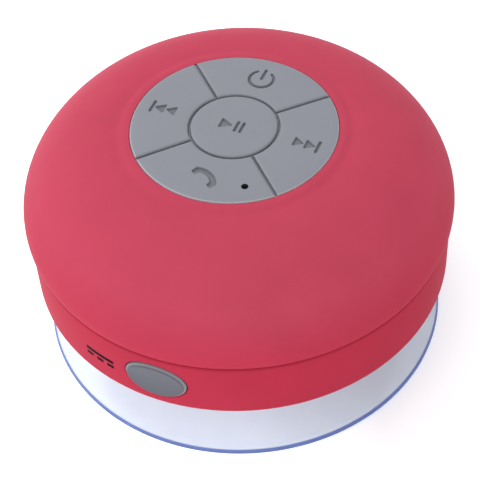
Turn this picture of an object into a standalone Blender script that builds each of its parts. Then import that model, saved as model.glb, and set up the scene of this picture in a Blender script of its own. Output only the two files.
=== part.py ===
"""Round waterproof shower speaker that stands or hangs on a clear suction cup.

The frame has its origin at the centre of the cup's lip, +Z out through the keypad, and the charging
port on the -Y side. Every size below is in millimetres; MM turns them into Blender's metres.
"""

import math

import bmesh
import bpy
from mathutils import Matrix, Vector

MM = 0.001
FIT = 0.3  # gap between neighbouring mouldings
SEAT = 0.1  # gap under small parts that sit on a board
TURN_STEPS = 40
SMALL_STEPS = 20

# Driving dimensions of the housing
BODY_R = 43.0
EQUATOR_Z = 32.0
DOME_TOP_Z = 49.2
DOME_INNER_R = 40.9
SKIRT_R = 42.45
LIP_FOOT_R = 23.2
LIP_TOP_Z = 49.7
KEY_HOLE_R = 20.3
WALL = 2.2
SPLIT_Z = 28.9
COLLAR_R = 42.4
COLLAR_BOTTOM_Z = 15.8
FLOOR_Z = 17.0
FLOOR_TOP_Z = FLOOR_Z + WALL
COLLAR_INNER_R = 40.1
TONGUE_R = 39.4
TONGUE_TOP_Z = 31.4
TONGUE_WALL = 1.6
SEAL_R = 40.15
SEAL_SECTION_R = 0.55
SEAL_Z = 30.2

# Keypad
KEYPAD_R = 20.05
PLAY_R = 8.42
GROOVE = 0.5
KEY_EDGE_Z = 50.0
KEY_CROWN = 0.2
KEY_EDGE = 0.3
CAP_BOTTOM_Z = 47.3
PILLAR_INSET = 2.2
PILLAR_BOTTOM_Z = 45.5
PIP_BOTTOM_Z = 45.0
PIP_R = 1.4
WEB_INSET = 1.8
WEB_R = 22.9
WEB_Z = (45.9, 46.7)
MIC_HOLE_R = 0.6
MIC_XY = (8.0, -14.2)
KEY_ANGLES = {"next": 0.0, "power": 90.0, "previous": 180.0, "phone": 270.0}

# Main board and what it carries
BOARD_Z = (40.6, 41.6)
BOARD_R = 27.4
SWITCH_CIRCLE_R = 13.0
SWITCH_SIDE = 6.0
SWITCH_TOP_Z = 44.1
PLUNGER_R = 1.7
PLUNGER_Z = (43.5, 44.7)
POST_CIRCLE_R = 25.0
POST_R = 1.8
POST_HOLE_R = 0.9
BOARD_HOLE_R = 1.1
POST_ANGLES = (90.0, 210.0, 330.0)
CHIP_CIRCLE_R = 16.5
BATTERY_SIZE = (30.0, 26.0, 3.7)
BATTERY_CENTRE = (0.0, -2.0, 38.35)
LEAD_R = 0.55

# Screws that hold the two shells together
SCREW_CIRCLE_R = 31.5
SCREW_ANGLES = (45.0, 135.0, 225.0, 315.0)
BOSS_R = 2.7
BOSS_HOLE_R = 1.3
COUNTERBORE_R = 2.7
COUNTERBORE_Z = 20.0
SCREW_HOLE_R = 1.4
PILLAR_R = 3.6
PILLAR_TOP_Z = 22.0

# Loudspeaker, facing down
DRIVER_R = 20.0
DRIVER_Z = 20.6
GRILLE_SLOTS = 12
GRILLE_SLOT_WIDTH = 2.2
GRILLE_SLOT_R = (9.8, 16.4)

# Charging port, on the -Y side
PORT_Z = 22.4
PLUG_CAP = (6.3, 4.4)
PLUG_INSERT = (4.8, 2.9)
PORT_HOLE = (5.2, 3.3)
PLUG_R = (39.6, 41.6, 42.9)
PORT_RECESS_FLOOR_R = 41.3
PLUG_HINGE = (6.4, -42.5)
SOCKET_Y = (-38.6, -33.6)
SOCKET_DEPTH = 4.2
SOCKET_WALL = 0.3
CHARGE_BOARD_SIZE = (9.0, 8.0, 1.0)
CHARGE_BOARD_CENTRE = (0.0, -34.4, 20.3)

# Suction cup and the hub that it turns on
CUP_R = 41.6
CUP_LIP_R = 37.6
CUP_NECK_R = 10.5
CUP_TOP_Z = 14.4
CUP_BORE_R = 3.5
CUP_BORE_Z = 11.6
CUP_CENTRE_Z = 9.8
HUB_FLANGE_Z = (14.7, 16.3)
HUB_FLANGE_R = 9.0
HUB_STEM_R = 5.1
HUB_HOLE_R = 5.4
CLIP_Z = (19.55, 20.25)


def clear_scene():
    for obj in list(bpy.data.objects):
        bpy.data.objects.remove(obj)


def make_material(name, colour, roughness, metallic=0.0, alpha=1.0):
    """A plain Principled material."""
    material = bpy.data.materials.new(name)
    material.use_nodes = True
    shader = material.node_tree.nodes["Principled BSDF"]
    shader.inputs["Base Color"].default_value = (*colour, 1.0)
    shader.inputs["Roughness"].default_value = roughness
    shader.inputs["Metallic"].default_value = metallic
    shader.inputs["Alpha"].default_value = alpha
    return material


def make_group(name, parent=None):
    """An empty that holds related parts together."""
    empty = bpy.data.objects.new(name, None)
    bpy.context.scene.collection.objects.link(empty)
    empty.parent = parent
    return empty


def place(name, bm, material, parent=None, origin=(0, 0, 0), sharp_deg=35):
    """Turns a bmesh drawn in world millimetres into a named object whose origin is at `origin`."""
    bmesh.ops.recalc_face_normals(bm, faces=bm.faces)
    mesh = bpy.data.meshes.new(name)
    bm.to_mesh(mesh)
    bm.free()
    mesh.transform(Matrix.Scale(MM, 4) @ Matrix.Translation(-Vector(origin)))
    mesh.shade_smooth()
    mesh.set_sharp_from_angle(angle=math.radians(sharp_deg))
    mesh.materials.append(material)
    obj = bpy.data.objects.new(name, mesh)
    bpy.context.scene.collection.objects.link(obj)
    obj.location = Vector(origin) * MM
    obj.parent = parent
    return obj


def combine(obj, operation, bm, label):
    """Adds a Boolean whose operand is drawn in world millimetres and hidden."""
    tool = place(f"{obj.name}_{label}", bm, obj.data.materials[0])
    tool.hide_render = True
    tool.display_type = "WIRE"
    modifier = obj.modifiers.new(label, "BOOLEAN")
    modifier.operation = operation
    modifier.object = tool
    modifier.solver = "EXACT"


def cut(obj, bm, label):
    combine(obj, "DIFFERENCE", bm, label)


def fuse(obj, bm, label):
    combine(obj, "UNION", bm, label)


def bezier(p0, p1, p2, p3, steps):
    """Points along a cubic Bezier, both ends included."""
    p0, p1, p2, p3 = (Vector(p) for p in (p0, p1, p2, p3))
    points = []
    for i in range(steps + 1):
        t = i / steps
        s = 1 - t
        points.append(s**3 * p0 + 3 * s * s * t * p1 + 3 * s * t * t * p2 + t**3 * p3)
    return points


def turned(profile, steps=TURN_STEPS):
    """A solid of revolution about Z. A profile that starts and ends on the axis stays open there."""
    bm = bmesh.new()
    verts = [bm.verts.new((r, 0, z)) for r, z in profile]
    on_axis = profile[0][0] == 0 and profile[-1][0] == 0
    pairs = list(zip(verts, verts[1:])) + ([] if on_axis else [(verts[-1], verts[0])])
    edges = [bm.edges.new(pair) for pair in pairs]
    bmesh.ops.spin(
        bm, geom=verts + edges, cent=(0, 0, 0), axis=(0, 0, 1), angle=2 * math.pi, steps=steps
    )
    bmesh.ops.remove_doubles(bm, verts=bm.verts, dist=1e-4)
    return bm


def moved(bm, x=0.0, y=0.0, z=0.0):
    bmesh.ops.translate(bm, verts=bm.verts, vec=(x, y, z))
    return bm


def turned_about_z(bm, degrees):
    turn = Matrix.Rotation(math.radians(degrees), 3, "Z")
    bmesh.ops.rotate(bm, verts=bm.verts, cent=(0, 0, 0), matrix=turn)
    return bm


def merged(*shapes):
    """Several closed shapes in one bmesh, for use as one Boolean operand."""
    whole = bmesh.new()
    for bm in shapes:
        mesh = bpy.data.meshes.new("temporary")
        bm.to_mesh(mesh)
        bm.free()
        whole.from_mesh(mesh)
        bpy.data.meshes.remove(mesh)
    return whole


def cylinder(radius, low, high, centre=(0, 0), steps=SMALL_STEPS):
    return moved(turned([(0, low), (radius, low), (radius, high), (0, high)], steps), *centre)


def tube(inner, outer, low, high, steps=SMALL_STEPS):
    return turned([(inner, low), (outer, low), (outer, high), (inner, high)], steps)


def box(size, centre):
    bm = bmesh.new()
    bmesh.ops.create_cube(bm, size=1.0, matrix=Matrix.LocRotScale(Vector(centre), None, Vector(size)))
    return bm


def prism(outline, low, high):
    """An outline in XY, extruded from `low` to `high`."""
    bm = bmesh.new()
    face = bm.faces.new([bm.verts.new((x, y, low)) for x, y in outline])
    made = bmesh.ops.extrude_face_region(bm, geom=[face])
    top = [v for v in made["geom"] if isinstance(v, bmesh.types.BMVert)]
    bmesh.ops.translate(bm, verts=top, vec=(0, 0, high - low))
    return bm


def lofted(rings, cap_start=None, cap_end=None):
    """Bridges rings of equal point counts. One face, or the strips in `cap_*`, closes each end."""
    bm = bmesh.new()
    rows = [[bm.verts.new(p) for p in ring] for ring in rings]
    count = len(rows[0])
    for low, high in zip(rows, rows[1:]):
        for i in range(count):
            j = (i + 1) % count
            bm.faces.new((low[i], low[j], high[j], high[i]))
    for row, cap in ((rows[0], cap_start), (rows[-1], cap_end)):
        for face in cap or [range(count)]:
            bm.faces.new([row[i] for i in face])
    return bm


def polar(radius, degrees):
    angle = math.radians(degrees)
    return radius * math.cos(angle), radius * math.sin(angle)


# Housing


def dome_profile():
    """Outer dome down to the split, and back up its inside to the raised lip round the keypad."""
    top = DOME_TOP_Z
    foot = SPLIT_Z + FIT
    outer = bezier((LIP_FOOT_R, top), (33.2, top), (BODY_R, 40.0), (BODY_R, EQUATOR_Z), 9)
    skirt = bezier((BODY_R, EQUATOR_Z), (BODY_R, 31.0), (42.8, 29.9), (SKIRT_R, foot), 3)
    ceiling = top - WALL
    inner = bezier(
        (DOME_INNER_R, EQUATOR_Z), (DOME_INNER_R, 39.0), (32.4, ceiling), (22.6, ceiling), 6
    )
    lip = [
        (KEY_HOLE_R, ceiling),
        (KEY_HOLE_R, LIP_TOP_Z),
        (21.2, LIP_TOP_Z - 0.04),
        (22.3, top + 0.1),
    ]
    return outer + skirt[1:] + [(DOME_INNER_R, foot)] + inner + lip


def make_upper_shell(material, parent):
    shell = place("upper_shell", turned(dome_profile()), material, parent)
    boss_z = (PILLAR_TOP_Z + FIT, 45.2)
    bosses = [cylinder(BOSS_R, *boss_z, polar(SCREW_CIRCLE_R, a), 16) for a in SCREW_ANGLES]
    posts = [
        cylinder(POST_R, BOARD_Z[1] + SEAT, 47.6, polar(POST_CIRCLE_R, a), 12) for a in POST_ANGLES
    ]
    fuse(shell, merged(*bosses, *posts), "bosses")
    hole_z = (PILLAR_TOP_Z, 33.0)
    holes = [cylinder(BOSS_HOLE_R, *hole_z, polar(SCREW_CIRCLE_R, a), 12) for a in SCREW_ANGLES]
    holes += [cylinder(POST_HOLE_R, BOARD_Z[1], 45.0, polar(POST_CIRCLE_R, a), 8) for a in POST_ANGLES]
    cut(shell, merged(*holes), "screw_holes")


def collar_profile():
    """Collar wall, sealing tongue and floor in one moulding."""
    return [
        (HUB_HOLE_R, FLOOR_Z),
        (40.0, FLOOR_Z),
        (40.6, COLLAR_BOTTOM_Z),
        (41.8, COLLAR_BOTTOM_Z),
        (42.2, COLLAR_BOTTOM_Z + 0.2),
        (COLLAR_R, COLLAR_BOTTOM_Z + 0.6),
        (COLLAR_R, SPLIT_Z - 0.7),
        (42.2, SPLIT_Z - 0.2),
        (41.8, SPLIT_Z),
        (TONGUE_R, SPLIT_Z),
        (TONGUE_R, TONGUE_TOP_Z),
        (TONGUE_R - TONGUE_WALL, TONGUE_TOP_Z),
        (TONGUE_R - TONGUE_WALL, 27.8),
        (COLLAR_INNER_R, 25.5),
        (COLLAR_INNER_R, FLOOR_TOP_Z),
        (HUB_HOLE_R, FLOOR_TOP_Z),
    ]


def slot_outline(start, end, width, steps=4):
    """A straight slot along +X with round ends."""
    half = width / 2
    points = []
    for centre, first in ((end - half, -90), (start + half, 90)):
        for i in range(steps + 1):
            x, y = polar(half, first + 180 * i / steps)
            points.append((centre + x, y))
    return points


def on_collar(along, radius, z):
    """A point `along` millimetres round the collar from the port's centre."""
    angle = along / COLLAR_R
    return radius * math.sin(angle), -radius * math.cos(angle), z


def oval_ring(half_width, half_height, radius, steps=28):
    """An oval that wraps round the collar at one radius, centred on the port."""
    ring = []
    for i in range(steps):
        angle = 2 * math.pi * i / steps
        ring.append(
            on_collar(half_width * math.cos(angle), radius, PORT_Z + half_height * math.sin(angle))
        )
    return ring


def oval_strips(steps=28):
    """Quads that close an oval ring across its short way."""
    half = steps // 2
    strips = [(0, 1, steps - 1)]
    for i in range(1, half - 1):
        strips.append((i, i + 1, steps - i - 1, steps - i))
    strips.append((half - 1, half, half + 1))
    return strips


def make_lower_shell(material, parent):
    shell = place("lower_shell", turned(collar_profile()), material, parent)
    pillars = [
        cylinder(PILLAR_R, FLOOR_TOP_Z - 0.6, PILLAR_TOP_Z, polar(SCREW_CIRCLE_R, a), 16)
        for a in SCREW_ANGLES
    ]
    seat = tube(DRIVER_R + 0.4, DRIVER_R + 1.8, FLOOR_TOP_Z - 0.6, 20.9, 28)
    ledges = [box((1.0, 7.0, 1.1), (x, CHARGE_BOARD_CENTRE[1], 19.15)) for x in (-3.6, 3.6)]
    fuse(shell, merged(seat, *ledges, *pillars), "pillars")
    slots = [
        turned_about_z(
            prism(slot_outline(*GRILLE_SLOT_R, GRILLE_SLOT_WIDTH), FLOOR_Z - 1, FLOOR_TOP_Z + 1),
            360 * (i + 0.5) / GRILLE_SLOTS,
        )
        for i in range(GRILLE_SLOTS)
    ]
    below, above = FLOOR_Z - 1, PILLAR_TOP_Z + 1
    bore = [(0, below), (COUNTERBORE_R, below), (COUNTERBORE_R, COUNTERBORE_Z)]
    bore += [(SCREW_HOLE_R, COUNTERBORE_Z), (SCREW_HOLE_R, above), (0, above)]
    counterbores = [moved(turned(bore, 16), *polar(SCREW_CIRCLE_R, a)) for a in SCREW_ANGLES]
    cut(shell, merged(*slots, *counterbores), "slots")
    port = lofted(
        [
            oval_ring(*PORT_HOLE, 38.0),
            oval_ring(*PORT_HOLE, PORT_RECESS_FLOOR_R),
            oval_ring(PLUG_CAP[0] + FIT, PLUG_CAP[1] + FIT, PORT_RECESS_FLOOR_R),
            oval_ring(PLUG_CAP[0] + FIT, PLUG_CAP[1] + FIT, 44.5),
        ],
        oval_strips(),
        oval_strips(),
    )
    cut(shell, port, "port")
    cut(shell, box((1.8, 6.0, 2.6), (5.6, -40.0, PORT_Z)), "tether_slot")


def ring_seal(name, radius, section, z, material, parent, steps=32):
    """A round-section sealing ring."""
    profile = [
        (radius + section * math.cos(a), z + section * math.sin(a))
        for a in (math.pi * i / 3 for i in range(6))
    ]
    return place(name, turned(profile, steps), material, parent)


def make_screw(name, head_r, head_h, shank_r, length, origin, material, parent, head_down=True):
    """Pan-head screw with a driver recess. Its origin is the underside of the head."""
    sign = -1 if head_down else 1
    profile = [
        (0, sign * (head_h - 0.7)),
        (0.8, sign * head_h),
        (head_r - 0.4, sign * head_h),
        (head_r, sign * head_h * 0.5),
        (head_r, 0),
        (shank_r, 0),
        (shank_r, -sign * (length - 1.0)),
        (0, -sign * length),
    ]
    bm = moved(turned(profile, 12), *origin)
    return place(name, bm, material, parent, origin)


def make_case_screws(material, parent):
    for number, angle in enumerate(SCREW_ANGLES, 1):
        x, y = polar(SCREW_CIRCLE_R, angle)
        make_screw(f"case_screw_{number}", 2.3, 1.5, 1.0, 11.0, (x, y, 19.8), material, parent)


def make_housing(mats, parent):
    make_upper_shell(mats["red"], parent)
    make_lower_shell(mats["red"], parent)
    ring_seal("shell_seal", SEAL_R, SEAL_SECTION_R, SEAL_Z, mats["black_rubber"], parent)
    make_case_screws(mats["steel"], parent)
    mesh_ring = tube(8.6, 17.1, FLOOR_TOP_Z + 0.15, FLOOR_TOP_Z + 0.45, 32)
    place("grille_mesh", mesh_ring, mats["mesh"], parent)


# Keypad


def crown_z(radius):
    """Height of the keypad's top surface, a shallow dome."""
    return KEY_EDGE_Z + KEY_CROWN * (1 - (radius / KEYPAD_R) ** 2)


def sector_ring(inset, height, steps=7):
    """Outline of a quarter key, pulled in by `inset`. `height` gives z from the radius."""
    inner = PLAY_R + GROOVE + inset
    outer = KEYPAD_R - inset
    side = GROOVE / 2 + inset
    ring = []
    for radius, direction in ((inner, 1), (outer, -1)):
        half = 45.0 - math.degrees(math.asin(side / radius))
        for i in range(steps + 1):
            x, y = polar(radius, direction * half * (2 * i / steps - 1))
            ring.append((x, y, height(radius)))
    return ring


def sector_strips(steps=7):
    """Quads between a sector's inner and outer arcs."""
    last = 2 * steps + 1
    return [(i, i + 1, last - i - 1, last - i) for i in range(steps)]


def quarter_key(angle):
    """One outer key: a cap with softened edges over a narrower pillar."""
    bm = lofted(
        [
            sector_ring(PILLAR_INSET, lambda r: PILLAR_BOTTOM_Z),
            sector_ring(PILLAR_INSET, lambda r: CAP_BOTTOM_Z),
            sector_ring(0, lambda r: CAP_BOTTOM_Z),
            sector_ring(0, lambda r: crown_z(r) - KEY_EDGE),
            sector_ring(KEY_EDGE, crown_z),
        ],
        sector_strips(),
        sector_strips(),
    )
    return turned_about_z(bm, angle)


def play_profile():
    pillar_r = PLAY_R - PILLAR_INSET
    return [
        (0, PIP_BOTTOM_Z),
        (PIP_R, PIP_BOTTOM_Z),
        (PIP_R, PILLAR_BOTTOM_Z),
        (pillar_r, PILLAR_BOTTOM_Z),
        (pillar_r, CAP_BOTTOM_Z),
        (PLAY_R, CAP_BOTTOM_Z),
        (PLAY_R, crown_z(PLAY_R) - KEY_EDGE),
        (PLAY_R - KEY_EDGE, crown_z(PLAY_R - KEY_EDGE)),
        (PLAY_R / 2, crown_z(PLAY_R / 2)),
        (0, crown_z(0)),
    ]


def make_keys(material, parent):
    top = (0, 0, crown_z(0))
    place("button_play", turned(play_profile(), 32), material, parent, top)
    for name, angle in KEY_ANGLES.items():
        x, y = polar(SWITCH_CIRCLE_R, angle)
        key = place(f"button_{name}", quarter_key(angle), material, parent, (x, y, KEY_EDGE_Z))
        fuse(key, cylinder(PIP_R, PIP_BOTTOM_Z, PILLAR_BOTTOM_Z + 0.5, (x, y), 12), "pip")
        if name == "phone":
            cut(key, cylinder(MIC_HOLE_R, PIP_BOTTOM_Z - 1, KEY_EDGE_Z + 1, MIC_XY, 12), "mic_hole")


def make_web(material, parent):
    """The keypad's carrier sheet, which lies under the dome and shows as the grooves' floor."""
    web = place("keypad_web", cylinder(WEB_R, *WEB_Z, steps=TURN_STEPS), material, parent)
    low, high = WEB_Z[0] - 1, WEB_Z[1] + 1
    windows = [cylinder(PLAY_R - WEB_INSET, low, high, steps=24)]
    for angle in KEY_ANGLES.values():
        rings = [sector_ring(WEB_INSET, lambda r, z=z: z) for z in (low, high)]
        windows.append(turned_about_z(lofted(rings, sector_strips(), sector_strips()), angle))
    cut(web, merged(*windows), "windows")


# Electronics


def switch_places():
    places = {"play": (0.0, 0.0)}
    for name, angle in KEY_ANGLES.items():
        places[name] = polar(SWITCH_CIRCLE_R, angle)
    return places


def make_switches(mats, parent):
    bottom = BOARD_Z[1] + SEAT
    for name, (x, y) in switch_places().items():
        size = (SWITCH_SIDE, SWITCH_SIDE, SWITCH_TOP_Z - bottom)
        body = box(size, (x, y, (SWITCH_TOP_Z + bottom) / 2))
        switch = place(f"switch_{name}", body, mats["black_plastic"], parent, (x, y, bottom))
        cut(switch, cylinder(PLUNGER_R + FIT, PLUNGER_Z[0] - 0.4, 45.0, (x, y), 16), "well")
        plunger = cylinder(PLUNGER_R, *PLUNGER_Z, (x, y), 16)
        place(f"plunger_{name}", plunger, mats["black_plastic"], parent, (x, y, PLUNGER_Z[1]))


def make_board(mats, parent):
    plate = cylinder(BOARD_R, *BOARD_Z, steps=TURN_STEPS)
    board = place("main_board", plate, mats["board"], parent)
    low, high = BOARD_Z[0] - 1, BOARD_Z[1] + 1
    holes = [cylinder(BOARD_HOLE_R, low, high, polar(POST_CIRCLE_R, a), 12) for a in POST_ANGLES]
    cut(board, merged(*holes), "screw_holes")
    top = BOARD_Z[1] + SEAT
    for number, angle in enumerate(POST_ANGLES, 1):
        origin = (*polar(POST_CIRCLE_R, angle), BOARD_Z[0] - SEAT)
        make_screw(f"board_screw_{number}", 1.8, 1.1, 0.7, 4.0, origin, mats["steel"], parent)
    chips = (
        ("radio_module", 7.4, 1.8, 135.0),
        ("amplifier_chip", 5.0, 1.2, 45.0),
        ("charger_chip", 4.0, 1.1, 225.0),
    )
    for name, side, height, angle in chips:
        x, y = polar(CHIP_CIRCLE_R, angle)
        chip = box((side, side, height), (x, y, top + height / 2))
        place(name, chip, mats["black_plastic"], parent)
    microphone = cylinder(2.0, top, top + 1.5, MIC_XY, 20)
    place("microphone", microphone, mats["steel"], parent)
    socket = box((6.0, 3.4, 3.2), (0, 20.6, BOARD_Z[0] - SEAT - 1.6))
    place("battery_socket", socket, mats["white_plastic"], parent)


def make_battery(mats, parent):
    bm = box(BATTERY_SIZE, BATTERY_CENTRE)
    edges = [e for e in bm.edges if abs(e.verts[0].co.x - e.verts[1].co.x) > 1]
    bmesh.ops.bevel(bm, geom=edges, offset=0.9, segments=2, affect="EDGES", profile=0.5)
    place("battery", bm, mats["pouch"], parent, BATTERY_CENTRE)


def through(points, steps=3):
    """Points along a Catmull-Rom curve through the given ones."""
    smooth = []
    last = len(points) - 1
    for i in range(last):
        a, b, c, d = (Vector(points[min(max(k, 0), last)]) for k in (i - 1, i, i + 1, i + 2))
        for k in range(steps):
            t = k / steps
            bend = (2 * a - 5 * b + 4 * c - d) * t**2 + (3 * b - 3 * c + d - a) * t**3
            smooth.append(0.5 * (2 * b + (c - a) * t + bend))
    return smooth + [Vector(points[-1])]


def make_lead(name, points, material, parent):
    """An insulated wire along a smooth curve."""
    smooth = through(points)
    curve = bpy.data.curves.new(name, "CURVE")
    curve.dimensions = "3D"
    curve.bevel_depth = LEAD_R * MM
    curve.bevel_resolution = 1
    curve.use_fill_caps = True
    spline = curve.splines.new("POLY")
    spline.points.add(len(smooth) - 1)
    for point, co in zip(spline.points, smooth):
        point.co = (*(co * MM), 1.0)
    curve.materials.append(material)
    obj = bpy.data.objects.new(name, curve)
    bpy.context.scene.collection.objects.link(obj)
    obj.parent = parent


def make_leads(mats, parent):
    """Pairs of wires: speaker to board, battery to socket, and charging board to main board."""
    for colour, side in (("red", -1), ("black", 1)):
        insulation = mats[f"wire_{colour}"]
        w = 1.2 * side
        speaker = [
            (21.7, w, 22.6),
            (22.4, w, 25.0),
            (24.4, 1.3 * w, 31.0),
            (24.6, 1.6 * w, 36.5),
            (23.4, 1.8 * w, 40.4),
        ]
        make_lead(f"speaker_lead_{colour}", speaker, insulation, parent)
        battery = [(3 * w, 11.3, 38.4), (2.6 * w, 13.6, 38.0), (1.4 * w, 16.4, 38.2), (w, 18.6, 38.6)]
        make_lead(f"battery_lead_{colour}", battery, insulation, parent)
        charge = [
            (w, -31.4, 21.6),
            (w, -29.6, 22.4),
            (1.3 * w, -26.6, 27.0),
            (1.6 * w, -24.6, 34.0),
            (2 * w, -24.0, 40.4),
        ]
        make_lead(f"charge_lead_{colour}", charge, insulation, parent)


# Charging port


def socket_ring(inset, y):
    """The six-sided outline of a micro-USB shell at one depth, pulled in by `inset`."""
    side, floor_side = 3.7 - inset, 2.9 - inset * 2 / 3
    top, knee, floor = PORT_Z + 1.3 - inset, PORT_Z - 0.2 + inset / 3, PORT_Z - 1.5 + inset
    half = [(side, top), (side, knee), (floor_side, floor)]
    return [(-x, y, z) for x, z in half] + [(x, y, z) for x, z in half[::-1]]


def make_port(mats, parent):
    place("charge_board", box(CHARGE_BOARD_SIZE, CHARGE_BOARD_CENTRE), mats["board"], parent)
    front, back = SOCKET_Y
    socket = lofted([socket_ring(0, y) for y in (front, back)])
    socket_obj = place("charge_socket", socket, mats["steel"], parent, (0, front, PORT_Z))
    cavity = lofted([socket_ring(SOCKET_WALL, y) for y in (front - 1, front + SOCKET_DEPTH)])
    cut(socket_obj, cavity, "mouth")
    fuse(socket_obj, box((3.6, 4.4, 0.6), (0, front + 2.7, PORT_Z + 0.2)), "tongue")
    strap = [(5.7, -39.3), (5.7, -40.9), (6.2, -40.9), (6.2, -39.3)]
    barb = [(7.5, -39.2), (7.3, -38.2), (5.2, -38.2), (5.0, -39.2)]
    tether = prism(strap + barb, PORT_Z - 1.1, PORT_Z + 1.1)
    place("port_tether", tether, mats["grey_silicone"], parent)


def make_plug(material, parent):
    """Oval silicone cover with a tapered insert. Its origin is on the flap's hinge axis."""
    tip_r, back_r, face_r = PLUG_R
    width, height = PLUG_CAP
    rings = [
        oval_ring(PLUG_INSERT[0] - 0.4, PLUG_INSERT[1] - 0.4, tip_r),
        oval_ring(*PLUG_INSERT, back_r - 0.1),
        oval_ring(width - 0.2, height - 0.2, back_r),
        oval_ring(width, height, back_r + 0.4),
        oval_ring(width - 0.15, height - 0.15, face_r - 0.3),
        oval_ring(width - 0.6, height - 0.6, face_r),
    ]
    bm = lofted(rings, oval_strips(), oval_strips())
    place("port_plug", bm, material, parent, (*PLUG_HINGE, PORT_Z))


# Loudspeaker


def half_roll(middle, radius, depth, top, steps=6):
    """Half of an oval, hanging below `top`, from its outer edge to its inner one."""
    angles = [math.pi * i / steps for i in range(steps + 1)]
    return [(middle + radius * math.cos(a), top - depth * math.sin(a)) for a in angles]


def make_driver(mats, fixed, moving):
    """Full-range driver that faces the grille in the floor."""

    def part(name, profile, material, parent, steps=28):
        profile = [(r, DRIVER_Z + h) for r, h in profile]
        return place(name, turned(profile, steps), mats[material], parent)

    gasket = [(17.4, -1.1), (DRIVER_R - 0.1, -1.1), (DRIVER_R - 0.1, -FIT), (17.4, -FIT)]
    part("speaker_gasket", gasket, "black_rubber", fixed)
    flange = [(17.6, 0.9), (17.5, 0), (DRIVER_R, 0), (DRIVER_R, 0.9), (18.9, 0.9)]
    basket = [(13.0, 8.7), (7.6, 8.7), (7.6, 8.0), (12.2, 8.0)]
    frame = part("speaker_frame", flange + basket, "black_metal", fixed)
    windows = [box((9.0, 6.5, 5.0), (16.5, 0, DRIVER_Z + 4.6)) for _ in range(4)]
    cut(frame, merged(*[turned_about_z(bm, 45 + 90 * i) for i, bm in enumerate(windows)]), "windows")
    terminals = box((2.7, 5.0, 1.1), (21.7, 0, DRIVER_Z + 1.2))
    place("speaker_terminals", terminals, mats["board"], fixed)

    roll = half_roll(15.3, 1.7, 0.9, 0.9) + half_roll(15.3, 1.35, 0.8, 1.25)[::-1]
    part("speaker_surround", roll, "black_rubber", fixed)
    waves = [(6.2, 7.2), (8.0, 6.8), (9.6, 7.3), (11.4, 6.9)]
    spider = waves + [(r, h + 0.3) for r, h in waves[::-1]]
    part("speaker_spider", spider, "cloth", fixed)

    cone = [(13.3, 1.2), (13.3, 1.7), (10.8, 2.2), (5.6, 6.2), (5.2, 6.0), (10.4, 1.8)]
    part("speaker_cone", cone, "paper", moving)
    bowl = [(0, 2.9), (2.6, 3.2), (4.6, 4.2), (5.4, 5.2)]
    bowl += [(5.0, 5.4), (4.3, 4.6), (2.4, 3.7), (0, 3.4)]
    part("dust_cap", bowl, "paper", moving)
    coil = [(5.1, 6.5), (5.5, 6.5), (5.5, 9.4), (5.8, 9.4), (5.8, 12.2), (5.1, 12.2)]
    part("voice_coil", coil, "copper", moving)

    part("speaker_top_plate", [(6.4, 9.0), (12.2, 9.0), (12.2, 10.8), (6.4, 10.8)], "steel", fixed)
    part("speaker_magnet", [(7.6, 10.9), (12.8, 10.9), (12.8, 13.6), (7.6, 13.6)], "ferrite", fixed)
    pole = [(0, 8.8), (4.7, 8.8), (4.7, 13.7)]
    plate = [(12.2, 13.7), (12.2, 15.2), (11.8, 15.6), (0, 15.6)]
    part("speaker_yoke", pole + plate, "steel", fixed)


# Suction cup


def cup_profile():
    """Cone of soft sheet with a flat sealing lip below and a solid neck with a blind bore on top."""
    top = bezier((CUP_NECK_R, 13.4), (13.5, 10.6), (30.0, 4.4), (40.6, 1.5), 8)
    rim = [(41.3, 1.2), (CUP_R, 0.8), (CUP_R, 0.4), (41.2, 0.0)]
    under = bezier((CUP_LIP_R, 0.0), (28.0, 3.6), (17.0, 8.9), (0, CUP_CENTRE_Z), 7)
    bore = [(0, CUP_BORE_Z), (CUP_BORE_R, CUP_BORE_Z), (CUP_BORE_R, CUP_TOP_Z)]
    return bore + [(CUP_NECK_R - 0.6, CUP_TOP_Z), (CUP_NECK_R, 13.9)] + top + rim + under


def make_cup(mats, hub_group, cup_group):
    place("suction_cup", turned(cup_profile()), mats["clear"], cup_group)
    low, high = HUB_FLANGE_Z
    pin_r = CUP_BORE_R - FIT
    pin = [(0, CUP_BORE_Z + FIT), (pin_r, CUP_BORE_Z + FIT), (pin_r, low)]
    flange = [(HUB_FLANGE_R - 0.3, low), (HUB_FLANGE_R, low + 0.3), (HUB_FLANGE_R, high)]
    groove = [
        (HUB_STEM_R, high),
        (HUB_STEM_R, CLIP_Z[0] - 0.1),
        (4.4, CLIP_Z[0] - 0.1),
        (4.4, CLIP_Z[1] + 0.1),
        (HUB_STEM_R, CLIP_Z[1] + 0.1),
    ]
    tip = [(HUB_STEM_R - 0.4, CLIP_Z[1] + 0.9), (0, CLIP_Z[1] + 0.9)]
    place("cup_hub", turned(pin + flange + groove + tip, 28), mats["white_plastic"], hub_group)
    clip = place("hub_clip", tube(4.5, 7.4, *CLIP_Z), mats["steel"], hub_group)
    cut(clip, box((9.0, 5.4, 2.0), (4.5, 0, CLIP_Z[0] + 0.35)), "gap")
    washer = tube(5.6, 8.6, high + SEAT, FLOOR_Z - SEAT, 32)
    place("hub_washer", washer, mats["black_rubber"], hub_group)


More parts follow.
